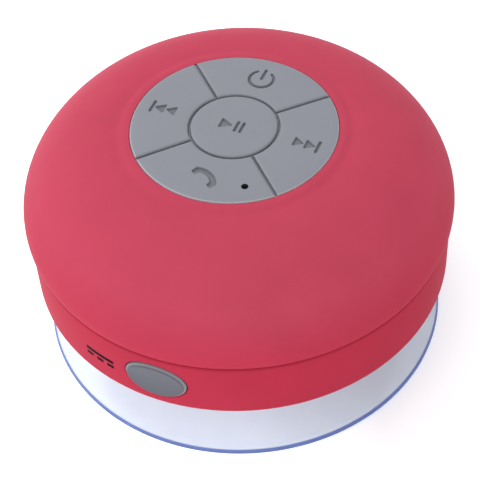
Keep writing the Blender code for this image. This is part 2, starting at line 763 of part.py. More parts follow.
def make_materials():
    return {
        "red": make_material("red_soft_touch", (0.62, 0.075, 0.125), 0.55),
        "grey_silicone": make_material("grey_silicone", (0.30, 0.31, 0.34), 0.6),
        "clear": make_material("clear_pvc", (0.86, 0.90, 1.0), 0.12, alpha=0.35),
        "black_rubber": make_material("black_rubber", (0.03, 0.03, 0.03), 0.7),
        "black_plastic": make_material("black_plastic", (0.04, 0.04, 0.045), 0.45),
        "white_plastic": make_material("white_plastic", (0.8, 0.8, 0.8), 0.4),
        "black_metal": make_material("black_metal", (0.05, 0.05, 0.055), 0.4, metallic=0.6),
        "steel": make_material("steel", (0.62, 0.63, 0.65), 0.3, metallic=1.0),
        "copper": make_material("copper", (0.72, 0.36, 0.2), 0.35, metallic=1.0),
        "ferrite": make_material("ferrite", (0.09, 0.09, 0.1), 0.55),
        "board": make_material("board", (0.05, 0.22, 0.1), 0.45),
        "pouch": make_material("battery_pouch", (0.6, 0.62, 0.66), 0.35, metallic=0.7),
        "mesh": make_material("grille_mesh", (0.08, 0.08, 0.09), 0.6),
        "paper": make_material("cone_paper", (0.07, 0.07, 0.08), 0.8),
        "cloth": make_material("spider_cloth", (0.65, 0.45, 0.12), 0.9),
        "wire_red": make_material("red_insulation", (0.6, 0.03, 0.03), 0.45),
        "wire_black": make_material("black_insulation", (0.02, 0.02, 0.02), 0.45),
    }


def main():
    clear_scene()
    mats = make_materials()
    speaker = make_group("shower_speaker")
    housing = make_group("housing", speaker)
    make_housing(mats, housing)
    make_web(mats["grey_silicone"], housing)
    make_board(mats, housing)
    make_switches(mats, housing)
    make_battery(mats, housing)
    make_leads(mats, housing)
    make_port(mats, housing)
    make_keys(mats["grey_silicone"], make_group("keypad", speaker))
    make_plug(mats["grey_silicone"], speaker)
    make_driver(mats, housing, make_group("moving_cone", speaker))
    hub = make_group("hub", speaker)
    make_cup(mats, hub, make_group("cup", hub))


main()
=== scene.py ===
"""The shower speaker's finished surfaces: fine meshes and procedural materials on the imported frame.

Sizes are in millimetres in the row's frame, with the cup's lip at z = 0 and the charging port on -Y.
"""

import math

import bmesh
import bpy
from mathutils import Matrix, Vector


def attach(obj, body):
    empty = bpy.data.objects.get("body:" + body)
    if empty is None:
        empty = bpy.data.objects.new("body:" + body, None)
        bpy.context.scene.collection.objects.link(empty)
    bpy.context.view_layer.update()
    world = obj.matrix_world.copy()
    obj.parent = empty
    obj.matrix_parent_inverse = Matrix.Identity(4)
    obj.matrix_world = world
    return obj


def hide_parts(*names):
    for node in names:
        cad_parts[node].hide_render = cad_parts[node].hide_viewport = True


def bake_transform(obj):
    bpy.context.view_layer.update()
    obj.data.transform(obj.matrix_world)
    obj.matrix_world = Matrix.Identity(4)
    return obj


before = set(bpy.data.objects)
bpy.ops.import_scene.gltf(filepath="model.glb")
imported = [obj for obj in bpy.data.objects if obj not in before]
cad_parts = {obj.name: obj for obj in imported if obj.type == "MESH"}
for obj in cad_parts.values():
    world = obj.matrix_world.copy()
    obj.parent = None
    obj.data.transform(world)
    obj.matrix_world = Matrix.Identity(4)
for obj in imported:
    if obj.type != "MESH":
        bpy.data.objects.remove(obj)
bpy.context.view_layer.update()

MM = 0.001
FINE = 192
SHARP_DEG = 32

# Dome
BODY_R = 43.0
EQUATOR_Z = 32.0
DOME_TOP_Z = 49.2
DOME_INNER_R = 40.9
CEILING_Z = 47.0
DOME_FOOT_Z = 28.98
LIP_FOOT_R = 23.2
LIP_CREST = (21.0, 49.74)
KEY_HOLE_R = 20.2

# Collar and floor
COLLAR_R = 42.4
COLLAR_BOTTOM_Z = 15.8
TONGUE_TOP_Z = 31.4
COLLAR_TOP_Z = 28.9
COLLAR_INNER_R = 40.1
TONGUE_R = (37.8, 39.4)
FLOOR_Z = 17.0
FLOOR_TOP_Z = 19.2
HUB_HOLE_R = 5.4
GRILLE_SLOTS = 12
GRILLE_SLOT = (9.8, 16.4, 2.2)
GRILLE_MOUTH = (9.55, 16.65, 2.7)

# Screws and posts
SCREW_CIRCLE_R = 31.5
SCREW_ANGLES = (45.0, 135.0, 225.0, 315.0)
PILLAR_Z = (18.6, 22.0)
POST_CIRCLE_R = 25.0
POST_ANGLES = (90.0, 210.0, 330.0)

# Keypad
KEYPAD_R = 20.12
PLAY_R = 8.42
KEY_EDGE_Z = 50.0
KEY_CROWN = 0.2
KEY_ROUNDING = 0.42
PLAY_GROOVE = 0.42
GROOVE_HALF = 0.22
CAP_BOTTOM_Z = 47.3
PILLAR_BOTTOM_Z = 45.5
PILLAR_INSET = 2.2
PIP_BOTTOM_Z = 45.0
PIP_R = 1.4
WEB_INSET = 1.8
SWITCH_CIRCLE_R = 13.0
MIC_HOLE_XY = (8.0, -14.2)
KEY_ANGLES = {"next": 0.0, "power": 90.0, "previous": 180.0, "phone": 270.0}

# Symbols
STROKE_HALF = 0.22
ENGRAVING_DEPTH = 0.4
SYMBOL_CIRCLE_R = 14.2

# Port
PORT_Z = 22.4
PLUG = (6.3, 4.4)
PORT_HOLE = (5.2, 3.3)
RECESS_FLOOR_R = 41.3

# Cup and hub
CUP_R = 41.6
CUP_TINT_R = (40.95, 41.2)
CUP_RIM_TOP = (40.6, 1.5)
CUP_LIP_R = 37.6
CUP_NECK_R = 10.5
CUP_TOP_Z = 14.4
CUP_BORE = (3.5, 11.6)
HUB_Z = (11.9, 21.15)

# Camera, in metres
CAMERA_PLACE = (0.08651, -0.18553, 0.24430)
CAMERA_TARGET = (-0.00027, -0.00013, 0.01749)
CAMERA_ROLL_DEG = 3.80
LENS_MM = 110.3175


# ---------------------------------------------------------------- shapes


def polar(radius, degrees):
    """X and Y of a point on a circle about the axis."""
    angle = math.radians(degrees)
    return radius * math.cos(angle), radius * math.sin(angle)


def bezier(p0, p1, p2, p3, steps):
    """Points along a cubic Bezier, both ends included."""
    p0, p1, p2, p3 = (Vector(p) for p in (p0, p1, p2, p3))
    points = []
    for i in range(steps + 1):
        t = i / steps
        s = 1 - t
        points.append(s**3 * p0 + 3 * s * s * t * p1 + 3 * s * t * t * p2 + t**3 * p3)
    return points


def rounded(profile, radii, steps=4):
    """A profile whose corners are turned into arcs. `radii` gives each corner's radius by index."""
    points = [Vector(p).to_2d() for p in profile]
    out = []
    count = len(points)
    for i, point in enumerate(points):
        radius = radii.get(i)
        if not radius:
            out.append(point)
            continue
        before = points[i - 1] - point
        after = points[(i + 1) % count] - point
        a = before.normalized()
        b = after.normalized()
        half = math.acos(max(-1, min(1, a.dot(b)))) / 2
        reach = min(radius / math.tan(half), before.length * 0.45, after.length * 0.45)
        start, end = point + a * reach, point + b * reach
        for k in range(steps + 1):
            t = k / steps
            out.append((1 - t) ** 2 * start + 2 * t * (1 - t) * point + t * t * end)
    return out


def finish_mesh(name, bm, *materials, sharp=SHARP_DEG):
    """Turns a bmesh drawn in millimetres into a named object in metres."""
    bmesh.ops.remove_doubles(bm, verts=bm.verts, dist=2e-4)
    bmesh.ops.recalc_face_normals(bm, faces=bm.faces)
    mesh = bpy.data.meshes.new(name)
    bm.to_mesh(mesh)
    bm.free()
    mesh.transform(Matrix.Scale(MM, 4))
    mesh.shade_smooth()
    mesh.set_sharp_from_angle(angle=math.radians(sharp))
    obj = bpy.data.objects.new(name, mesh)
    bpy.context.scene.collection.objects.link(obj)
    for material in materials:
        mesh.materials.append(material)
    return obj


def turned(profile, steps=FINE):
    """A solid of revolution about Z from a closed profile, or one that starts and ends on the axis."""
    bm = bmesh.new()
    points = [Vector(p).to_2d() for p in profile]
    axis = {i: bm.verts.new((0, 0, p.y)) for i, p in enumerate(points) if p.x == 0}
    rings = []
    for k in range(steps):
        c, s = math.cos(2 * math.pi * k / steps), math.sin(2 * math.pi * k / steps)
        ring = [axis.get(i) or bm.verts.new((p.x * c, p.x * s, p.y)) for i, p in enumerate(points)]
        rings.append(ring)
    spans = len(points) - (1 if axis else 0)
    for k, a in enumerate(rings):
        b = rings[(k + 1) % steps]
        for i in range(spans):
            j = (i + 1) % len(points)
            bm.faces.new(dict.fromkeys((a[i], a[j], b[j], b[i])))
    return bm


def moved(bm, x=0.0, y=0.0, turn=0.0):
    """Turns a bmesh about Z by `turn` degrees and then shifts it."""
    rotation = Matrix.Rotation(math.radians(turn), 3, "Z")
    bmesh.ops.rotate(bm, verts=bm.verts, cent=(0, 0, 0), matrix=rotation)
    bmesh.ops.translate(bm, verts=bm.verts, vec=(x, y, 0))
    return bm


def merged(shapes):
    """Several closed shapes in one bmesh."""
    whole = bmesh.new()
    for bm in shapes:
        mesh = bpy.data.meshes.new("part")
        bmesh.ops.recalc_face_normals(bm, faces=bm.faces)
        bm.to_mesh(mesh)
        bm.free()
        whole.from_mesh(mesh)
        bpy.data.meshes.remove(mesh)
    return whole


def cylinder(radius, low, high, centre=(0, 0), steps=48):
    return moved(turned([(0, low), (radius, low), (radius, high), (0, high)], steps), *centre)


def box(size, centre):
    bm = bmesh.new()
    bmesh.ops.create_cube(bm, size=1.0, matrix=Matrix.LocRotScale(Vector(centre), None, Vector(size)))
    return bm


def walls(bm, rings):
    """Bridges rings of equal point counts, and returns each ring's vertices."""
    rows = [[bm.verts.new(p) for p in ring] for ring in rings]
    count = len(rows[0])
    for low, high in zip(rows, rows[1:]):
        for i in range(count):
            j = (i + 1) % count
            bm.faces.new((low[i], low[j], high[j], high[i]))
    return rows


def lofted(rings):
    """Bridges rings and closes each end with one face."""
    bm = bmesh.new()
    rows = walls(bm, rings)
    bm.faces.new(rows[0][::-1])
    bm.faces.new(rows[-1])
    return bm


def boolean(obj, operation, bm, slot=0):
    """Applies one exact Boolean and removes its operand. The faces it makes take material `slot`."""
    for face in bm.faces:
        face.material_index = slot
    tool = finish_mesh("tool", bm, *obj.data.materials)
    modifier = obj.modifiers.new("cut", "BOOLEAN")
    modifier.operation = operation
    modifier.object = tool
    modifier.solver = "EXACT"
    evaluated = obj.evaluated_get(bpy.context.evaluated_depsgraph_get())
    mesh = bpy.data.meshes.new_from_object(evaluated)
    obj.modifiers.clear()
    old = obj.data
    obj.data = mesh
    bpy.data.meshes.remove(old)
    mesh.name = obj.name
    bpy.data.objects.remove(tool)
    mesh.set_sharp_from_angle(angle=math.radians(SHARP_DEG))


def cut(obj, bm, slot=0):
    boolean(obj, "DIFFERENCE", bm, slot)


def fuse(obj, bm):
    boolean(obj, "UNION", bm)


def split_large_faces(obj):
    """Splits faces with many corners into triangles, so that a following Boolean closes them well."""
    bm = bmesh.new()
    bm.from_mesh(obj.data)
    bmesh.ops.triangulate(bm, faces=[face for face in bm.faces if len(face.verts) > 4])
    bm.to_mesh(obj.data)
    bm.free()


def place(obj, body, *nodes, slot):
    """Rides on a body and stands for its CAD nodes."""
    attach(obj, body)
    if nodes:
        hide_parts(*nodes)


# ---------------------------------------------------------------- materials


class Nodes:
    """A short way to write one material's node tree."""

    def __init__(self, name):
        self.material = bpy.data.materials.new(name)
        self.material.use_nodes = True
        self.tree = self.material.node_tree
        self.shader = self.tree.nodes["Principled BSDF"]
        self.place = self.add("ShaderNodeTexCoord").outputs["Object"]

    def add(self, kind, **values):
        node = self.tree.nodes.new(kind)
        for key, value in values.items():
            setattr(node, key, value)
        return node

    def link(self, source, target):
        self.tree.links.new(source, target)

    def put(self, socket, value):
        """Sets a socket to a colour or a number, or links it to another socket."""
        if isinstance(value, (tuple, list)):
            socket.default_value = (*value, 1.0)
        elif isinstance(value, (int, float)):
            socket.default_value = value
        else:
            self.link(value, socket)

    def noise(self, size_mm, detail=2.0, roughness=0.5, stretch=None):
        """Noise with features of about `size_mm`."""
        node = self.add("ShaderNodeTexNoise")
        node.inputs["Scale"].default_value = 1 / (size_mm * MM)
        node.inputs["Detail"].default_value = detail
        node.inputs["Roughness"].default_value = roughness
        self.link(self.scaled(stretch) if stretch else self.place, node.inputs["Vector"])
        return node.outputs["Fac"]

    def scaled(self, stretch):
        """The point's place, stretched along each axis."""
        node = self.add("ShaderNodeMapping")
        node.inputs["Scale"].default_value = stretch
        self.link(self.place, node.inputs["Vector"])
        return node.outputs["Vector"]

    def axes(self):
        """The point's own X, Y and Z."""
        node = self.add("ShaderNodeSeparateXYZ")
        self.link(self.place, node.inputs["Vector"])
        return node.outputs["X"], node.outputs["Y"], node.outputs["Z"]

    def radius(self):
        """The point's distance from the body's axis."""
        x, y, _ = self.axes()
        squares = self.math("ADD", self.math("MULTIPLY", x, x), self.math("MULTIPLY", y, y))
        return self.math("SQRT", squares)

    def ramp(self, value, low, high, from_low=0.3, from_high=0.7):
        """`low` to `high` as the value goes between its own two limits, and level past them."""
        node = self.add("ShaderNodeMapRange")
        node.inputs["From Min"].default_value = from_low
        node.inputs["From Max"].default_value = from_high
        node.inputs["To Min"].default_value = low
        node.inputs["To Max"].default_value = high
        self.link(value, node.inputs["Value"])
        return node.outputs["Result"]

    def math(self, operation, *values):
        node = self.add("ShaderNodeMath", operation=operation)
        for socket, value in zip(node.inputs, values):
            self.put(socket, value)
        return node.outputs["Value"]

    def mix(self, factor, a, b):
        """Colour `a` where the factor is 0 and `b` where it is 1."""
        node = self.add("ShaderNodeMix", data_type="RGBA")
        self.link(factor, node.inputs["Factor"])
        self.put(node.inputs["A"], a)
        self.put(node.inputs["B"], b)
        return node.outputs["Result"]

    def bump(self, height, distance_mm, below=None):
        """A normal bent by `height`, on top of the bump `below` it."""
        node = self.add("ShaderNodeBump")
        node.inputs["Distance"].default_value = distance_mm * MM
        node.inputs["Strength"].default_value = 1.0
        self.link(height, node.inputs["Height"])
        if below is not None:
            self.link(below, node.inputs["Normal"])
        return node.outputs["Normal"]

    def set(self, **values):
        """Sets or links the shader's sockets and returns the material."""
        names = {
            "colour": "Base Color",
            "roughness": "Roughness",
            "metallic": "Metallic",
            "normal": "Normal",
            "sheen": "Sheen Weight",
            "specular": "Specular IOR Level",
            "ior": "IOR",
            "transmission": "Transmission Weight",
        }
        for key, value in values.items():
            self.put(self.shader.inputs[names[key]], value)
        return self.material


def soft(name, colour, roughness, grain=0.16, depth=0.012, drift=0.05, second=None, blend=None, **extra):
    """Moulded plastic or rubber: faint mottling, fine grain and slightly uneven gloss.

    `blend` takes the nodes and gives a factor that turns `colour` into `second`; the blends used here paint
    shade on the red and highlights on the key and plug greys.
    """
    n = Nodes(name)
    factor = blend(n) if blend else None

    def shade(scale):
        base = [min(1, c * scale) for c in colour]
        return n.mix(factor, base, [min(1, c * scale) for c in second]) if blend else base

    light = shade(1 + drift)
    dark = shade(1 - drift)
    mottle = n.noise(9.0, detail=3.0)
    fine = n.noise(grain, detail=3.0, roughness=0.6)
    tone = n.math("ADD", n.math("MULTIPLY", mottle, 0.6), n.math("MULTIPLY", fine, 0.4))
    normal = n.bump(fine, depth, below=n.bump(n.noise(grain * 6, detail=1.0), depth))
    gloss = n.ramp(fine, roughness - 0.05, roughness + 0.05)
    return n.set(colour=n.mix(n.ramp(tone, 0, 1), dark, light), roughness=gloss, normal=normal, **extra)


def metal(name, colour, roughness, stretch=(1, 1, 0.1), grain=0.15):
    """Plated or brushed metal with fine drawn lines and a few duller patches."""
    n = Nodes(name)
    lines = n.noise(grain, detail=4.0, stretch=stretch)
    patches = n.noise(3.0, detail=3.0)
    shade = n.mix(n.ramp(patches, 0, 1), [c * 0.88 for c in colour], colour)
    gloss = n.math("ADD", n.ramp(lines, roughness - 0.06, roughness + 0.08), n.ramp(patches, 0.0, 0.05))
    return n.set(colour=shade, roughness=gloss, metallic=1.0, normal=n.bump(lines, 0.006))


def board_material(name):
    """Green solder mask over copper tracks."""
    n = Nodes(name)
    tracks = n.add("ShaderNodeTexBrick", offset=0.35, squash=0.6)
    tracks.inputs["Scale"].default_value = 1 / (2.6 * MM)
    tracks.inputs["Mortar Size"].default_value = 0.035
    n.link(n.place, tracks.inputs["Vector"])
    speckle = n.noise(0.4)
    green = n.mix(n.ramp(speckle, 0, 1), (0.012, 0.12, 0.045), (0.018, 0.15, 0.06))
    colour = n.mix(tracks.outputs["Fac"], green, (0.04, 0.24, 0.10))
    normal = n.bump(tracks.outputs["Fac"], 0.03)
    return n.set(colour=colour, roughness=n.ramp(speckle, 0.25, 0.38), normal=normal)


def woven_material(name, thread, gap, pitch=0.45):
    """Fine woven mesh with a thread every `pitch` millimetres each way."""
    n = Nodes(name)
    waves = []
    for direction in ("X", "Y"):
        wave = n.add("ShaderNodeTexWave", wave_type="BANDS", bands_direction=direction)
        wave.inputs["Scale"].default_value = 0.31 / (pitch * MM)
        n.link(n.place, wave.inputs["Vector"])
        waves.append(wave.outputs["Fac"])
    weave = n.math("MAXIMUM", *waves)
    slub = n.noise(0.2)
    colour = n.mix(n.ramp(weave, 0, 1, 0.3, 0.8), gap, thread)
    return n.set(colour=colour, roughness=n.ramp(slub, 0.6, 0.8), normal=n.bump(weave, 0.08), sheen=0.2)


def clear_material(name):
    """Clear soft PVC: nearly colourless sheet whose cut rim carries a blue-violet tint."""
    n = Nodes(name)
    edge = n.ramp(n.radius(), 0, 1, CUP_TINT_R[0] * MM, CUP_TINT_R[1] * MM)
    haze = n.noise(4.0, detail=4.0)
    body = n.mix(n.ramp(haze, 0, 1), (0.85, 0.92, 1.0), (0.88, 0.945, 1.0))
    ripple = n.noise(7.0, detail=2.0)
    return n.set(
        colour=n.mix(edge, body, (0.10, 0.15, 0.44)),
        roughness=n.ramp(haze, 0.12, 0.2),
        normal=n.bump(ripple, 0.12),
        transmission=n.ramp(edge, 0.6, 0.3, 0.0, 1.0),
        ior=1.46,
    )


def shade_towards_collar(n):
    """1 at the collar, and 0 on the dome above the shoulder: painted shade that darkens the collar and the
    lower dome.
    """
    return n.ramp(n.axes()[2], 1, 0, 29.5 * MM, 41.0 * MM)


def keypad_rim_highlight(n):
    """1 on the keypad's outer edge, where a paler grey is a painted highlight."""
    return n.ramp(n.radius(), 0, 1, (KEYPAD_R - 0.32) * MM, (KEYPAD_R - 0.1) * MM)


def plug_rim_highlight(n):
    """1 on the port cover's bevel and sides, which are painted paler as a highlight, and 0 on its face."""
    return n.ramp(n.radius(), 1, 0, 42.6 * MM, 42.82 * MM)


def make_materials():
    # The collar's deeper red is painted shade, blended up over the lower dome by height.
    dome_red, shaded_collar_red = (0.465, 0.052, 0.090), (0.395, 0.023, 0.049)
    # The paler key grey is a painted highlight on the keypad's outer edge.
    key_grey, key_highlight_grey = (0.202, 0.209, 0.237), (0.36, 0.365, 0.39)
    # The paler plug grey is a painted highlight on the cover's bevel and sides.
    plug_grey, plug_highlight_grey = (0.078, 0.080, 0.100), (0.2, 0.205, 0.22)
    # The engraved grey is painted shade on the walls and floors of the engraved symbols.
    engraved_shade_grey = (0.16, 0.165, 0.185)
    red = {"second": shaded_collar_red, "blend": shade_towards_collar, "specular": 0.04}
    key = {"grain": 0.12, "drift": 0.03, "second": key_highlight_grey, "blend": keypad_rim_highlight, "specular": 0.45}
    plug = {"grain": 0.12, "drift": 0.04, "second": plug_highlight_grey, "blend": plug_rim_highlight, "specular": 0.3}
    return {
        "red": soft("red_soft_touch", dome_red, 0.62, **red),
        "grey": soft("grey_silicone", key_grey, 0.45, **key),
        "grey_engraved_shade": soft("grey_engraved_shade", engraved_shade_grey, 0.6, grain=0.12, drift=0.03, specular=0.2),
        "plug": soft("grey_plug_silicone", plug_grey, 0.5, **plug),
        "clear": clear_material("clear_pvc"),
        "ink": soft("black_print", (0.010, 0.003, 0.004), 0.6, grain=0.08, drift=0.2, specular=0.02),
        "rubber": soft("black_rubber", (0.022, 0.022, 0.023), 0.7, grain=0.2, drift=0.2),
        "black": soft("black_plastic", (0.03, 0.03, 0.032), 0.42, grain=0.1, drift=0.2),
        "white": soft("white_plastic", (0.78, 0.78, 0.77), 0.38, grain=0.2, drift=0.02),
        "pouch": metal("battery_pouch", (0.55, 0.57, 0.6), 0.38, grain=0.4),
        "steel": metal("steel", (0.62, 0.63, 0.65), 0.26),
        "frame": metal("black_metal", (0.05, 0.05, 0.055), 0.42),
        "copper": metal("copper", (0.75, 0.32, 0.16), 0.3, stretch=(0.1, 0.1, 1), grain=0.12),
        "ferrite": soft("ferrite", (0.07, 0.07, 0.078), 0.5, grain=0.3, drift=0.15),
        "board": board_material("board"),
        "mesh": woven_material("grille_mesh", (0.09, 0.09, 0.1), (0.008, 0.008, 0.009)),
        "paper": soft("cone_paper", (0.045, 0.045, 0.05), 0.85, grain=0.3, depth=0.03, drift=0.2),
        "cloth": woven_material("spider_cloth", (0.62, 0.42, 0.12), (0.3, 0.18, 0.04)),
        "wire_red": soft("red_insulation", (0.5, 0.012, 0.012), 0.4, grain=0.3),
        "wire_black": soft("black_insulation", (0.014, 0.014, 0.014), 0.4, grain=0.3, drift=0.2),
    }


# The CAD nodes that keep their shape, by material. A name's * stands for any ending.
CARRIED = {
    "rubber": ("shell_seal", "hub_washer", "speaker_gasket", "speaker_surround"),
    "black": ("radio_module", "amplifier_chip", "charger_chip", "switch_*", "plunger_*"),
    "white": ("battery_socket",),
    "frame": ("speaker_frame",),
    "steel": (
        "microphone", "charge_socket", "hub_clip", "speaker_top_plate", "speaker_yoke", "board_screw_*",
    ),
    "copper": ("voice_coil",),
    "ferrite": ("speaker_magnet",),
    "board": ("main_board", "charge_board", "speaker_terminals"),
    "pouch": ("battery",),
    "mesh": ("grille_mesh",),
    "paper": ("speaker_cone", "dust_cap"),
    "cloth": ("speaker_spider",),
    "plug": ("port_tether",),
    "wire_red": ("battery_lead_red", "speaker_lead_red", "charge_lead_red"),
    "wire_black": ("battery_lead_black", "speaker_lead_black", "charge_lead_black"),
}


def dress_carried(mats):
    """Gives every CAD node that stays its finished material."""
    for key, patterns in CARRIED.items():
        for name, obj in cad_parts.items():
            if any(name == p or (p.endswith("*") and name.startswith(p[:-1])) for p in patterns):
                for slot in obj.material_slots:
                    slot.material = mats[key]


# ---------------------------------------------------------------- housing


def make_upper_shell(mats):
    """Dome with a raised lip round the keypad, and the bosses and posts inside it."""
    equator = (BODY_R, EQUATOR_Z)
    skirt_foot = (42.5, 29.45)
    lip_foot = (LIP_FOOT_R, DOME_TOP_Z)
    outer = bezier(lip_foot, (33.2, DOME_TOP_Z), (BODY_R, 40.0), equator, 44)
    skirt = bezier(equator, (BODY_R, 31.0), (42.85, 30.0), skirt_foot, 8)[1:]
    foot = bezier(skirt_foot, (42.3, 29.15), (42.05, DOME_FOOT_Z), (41.6, DOME_FOOT_Z), 6)[1:]
    foot.append(Vector((DOME_INNER_R, DOME_FOOT_Z)))
    ceiling_end = (22.6, CEILING_Z)
    inner = bezier((DOME_INNER_R, EQUATOR_Z), (DOME_INNER_R, 39.0), (32.4, CEILING_Z), ceiling_end, 24)
    mouth = [(22.0, CEILING_Z), (KEY_HOLE_R, CEILING_Z), (KEY_HOLE_R, 49.78), LIP_CREST]
    mouth = rounded(mouth, {1: 0.2, 2: 0.12}, 5)[1:]
    lip = bezier(LIP_CREST, (21.8, 49.7), (22.1, 49.22), lip_foot, 10)[1:-1]
    shell = finish_mesh("upper_shell_fine", turned(outer + skirt + foot + inner + mouth + lip), mats["red"])
    screws = [polar(SCREW_CIRCLE_R, a) for a in SCREW_ANGLES]
    posts = [polar(POST_CIRCLE_R, a) for a in POST_ANGLES]
    solids = [cylinder(2.7, 22.3, 45.2, xy, 40) for xy in screws]
    solids += [cylinder(1.8, 41.7, 47.6, xy, 32) for xy in posts]
    fuse(shell, merged(solids))
    holes = [cylinder(1.3, 21.0, 33.0, xy, 32) for xy in screws]
    holes += [cylinder(0.9, 41.0, 45.0, xy, 24) for xy in posts]
    cut(shell, merged(holes))
    place(shell, "housing", "upper_shell", slot="red_soft_touch")


def slot_outline(start, end, width, steps=12):
    """A straight slot along +X with round ends."""
    half = width / 2
    points = []
    for centre, first in ((end - half, -90), (start + half, 90)):
        for i in range(steps + 1):
            x, y = polar(half, first + 180 * i / steps)
            points.append((centre + x, y))
    return points


def on_collar(along, radius, z):
    """A point `along` millimetres round the collar from the port's centre."""
    angle = along / COLLAR_R
    return radius * math.sin(angle), -radius * math.cos(angle), z


def oval(half_width, half_height, radius, steps=96):
    """An oval that wraps round the collar at one radius, centred on the port."""
    ring = []
    for i in range(steps):
        angle = 2 * math.pi * i / steps
        x, z = half_width * math.cos(angle), PORT_Z + half_height * math.sin(angle)
        ring.append(on_collar(x, radius, z))
    return ring


def capped(rings):
    """Lofts ovals and closes each end with strips across its short way, so that it keeps its bend."""
    bm = bmesh.new()
    rows = walls(bm, rings)
    count = len(rows[0])
    half = count // 2
    for row in (rows[0], rows[-1]):
        bm.faces.new((row[0], row[1], row[-1]))
        for i in range(1, half - 1):
            bm.faces.new((row[i], row[i + 1], row[count - i - 1], row[count - i]))
        bm.faces.new((row[half - 1], row[half], row[half + 1]))
    return bm


def collar_profile():
    """Collar, sealing tongue and floor, with every corner softened."""
    tongue_inner_r, tongue_outer_r = TONGUE_R
    corners = [
        (HUB_HOLE_R, FLOOR_Z, 0.2),
        (40.0, FLOOR_Z, 0.3),
        (40.5, COLLAR_BOTTOM_Z, 0.3),
        (COLLAR_R, COLLAR_BOTTOM_Z, 0.7),
        (COLLAR_R, COLLAR_TOP_Z, 0.8),
        (tongue_outer_r, COLLAR_TOP_Z + 0.03, 0.1),
        (tongue_outer_r, TONGUE_TOP_Z, 0.3),
        (tongue_inner_r, TONGUE_TOP_Z, 0.3),
        (tongue_inner_r, 27.8, 0.4),
        (COLLAR_INNER_R, 25.5, 0.6),
        (COLLAR_INNER_R, FLOOR_TOP_Z, 0.5),
        (HUB_HOLE_R, FLOOR_TOP_Z, 0.2),
    ]
    radii = {i: radius for i, (_, _, radius) in enumerate(corners)}
    return rounded([(r, z) for r, z, _ in corners], radii, 6)


def grille_slots():
    """Cutters for the slots in the floor, flared at its outside."""
    narrow = slot_outline(*GRILLE_SLOT)
    wide = slot_outline(*GRILLE_MOUTH)
    levels = ((wide, 16.0), (wide, 16.95), (narrow, 17.3), (narrow, 20.0))
    for i in range(GRILLE_SLOTS):
        rings = [[(x, y, z) for x, y in outline] for outline, z in levels]
        yield moved(lofted(rings), turn=360 * (i + 0.5) / GRILLE_SLOTS)


def make_lower_shell(mats):
    """Collar and floor with grille slots, screw pillars, the driver's seat and the port's recess."""
    shell = finish_mesh("lower_shell_fine", turned(collar_profile()), mats["red"])
    cut(shell, merged(grille_slots()))

    root, pillar_top = PILLAR_Z
    screws = [polar(SCREW_CIRCLE_R, a) for a in SCREW_ANGLES]
    solids = [cylinder(3.6, root, pillar_top, xy, 40) for xy in screws]
    solids.append(turned([(20.4, root), (21.8, root), (21.8, 20.9), (20.4, 20.9)], 96))
    solids += [box((1.0, 7.0, 1.1), (x, -34.4, 19.15)) for x in (-3.6, 3.6)]
    fuse(shell, merged(solids))
    split_large_faces(shell)

    counterbore = [(0, 16.0), (3.0, 16.0), (3.0, 16.95), (2.7, 17.3), (2.7, 20.0)]
    bore = counterbore + [(1.4, 20.0), (1.4, 23.0), (0, 23.0)]
    cut(shell, merged([moved(turned(bore, 40), *xy) for xy in screws]))

    width, height = PLUG
    recess = [
        oval(*PORT_HOLE, 38.0),
        oval(*PORT_HOLE, RECESS_FLOOR_R),
        oval(width + 0.15, height + 0.15, RECESS_FLOOR_R),
        oval(width + 0.15, height + 0.15, 42.2),
        oval(width + 0.35, height + 0.35, 42.46),
        oval(width + 0.35, height + 0.35, 44.5),
    ]
    cut(shell, capped(recess))
    strap_slot = box((1.8, 3.0, 2.6), (5.6, -39.6, PORT_Z))
    cut(shell, strap_slot)
    place(shell, "housing", "lower_shell", slot="red_soft_touch")


def make_screws(mats):
    """Pan heads with a cross recess."""
    for number, angle in enumerate(SCREW_ANGLES, 1):
        x, y = polar(SCREW_CIRCLE_R, angle)
        head = bezier((2.3, 19.1), (2.3, 18.6), (1.6, 18.3), (0.9, 18.3), 8)[::-1]
        shank = [(2.3, 19.8), (1.0, 19.8), (1.0, 30.0), (0.5, 30.8), (0, 30.8)]
        profile = [(0, 18.3), *head, *shank]
        screw = finish_mesh(f"case_screw_{number}_fine", moved(turned(profile, 48), x, y), mats["steel"])
        for turn in (angle + 20, angle + 110):
            cut(screw, moved(box((2.3, 0.5, 1.0), (0, 0, 18.5)), x, y, turn))
        place(screw, "housing", f"case_screw_{number}", slot="steel")


def make_mark(mats):
    """Printed direct-current symbol beside the port: a bar over three dashes, as thin film."""
    left, right = -16.2, -9.3
    bar_z, dash_z = (21.8, 22.65), (20.4, 21.2)
    film_r = (42.37, 42.425)
    dash = (right - left) / 4.2
    strips = [(left, right, bar_z)]
    for i in range(3):
        start = left + i * (right - left - dash) / 2
        strips.append((start, start + dash, dash_z))
    bm = bmesh.new()
    for start, end, (low, high) in strips:
        steps = max(2, round((end - start) / 0.4))
        corners = ((film_r[0], low), (film_r[1], low), (film_r[1], high), (film_r[0], high))
        along = [start + (end - start) * i / steps for i in range(steps + 1)]
        rows = walls(bm, [[on_collar(a, r, z) for r, z in corners] for a in along])
        bm.faces.new(rows[0])
        bm.faces.new(rows[-1])
    mark = finish_mesh("power_mark", bm, mats["ink"])
    place(mark, "housing", slot="black_plastic")


# ---------------------------------------------------------------- keypad


def crown(radius):
    """Height of the keypad's top, a shallow dome."""
    return KEY_EDGE_Z + KEY_CROWN * (1 - (radius / KEYPAD_R) ** 2)


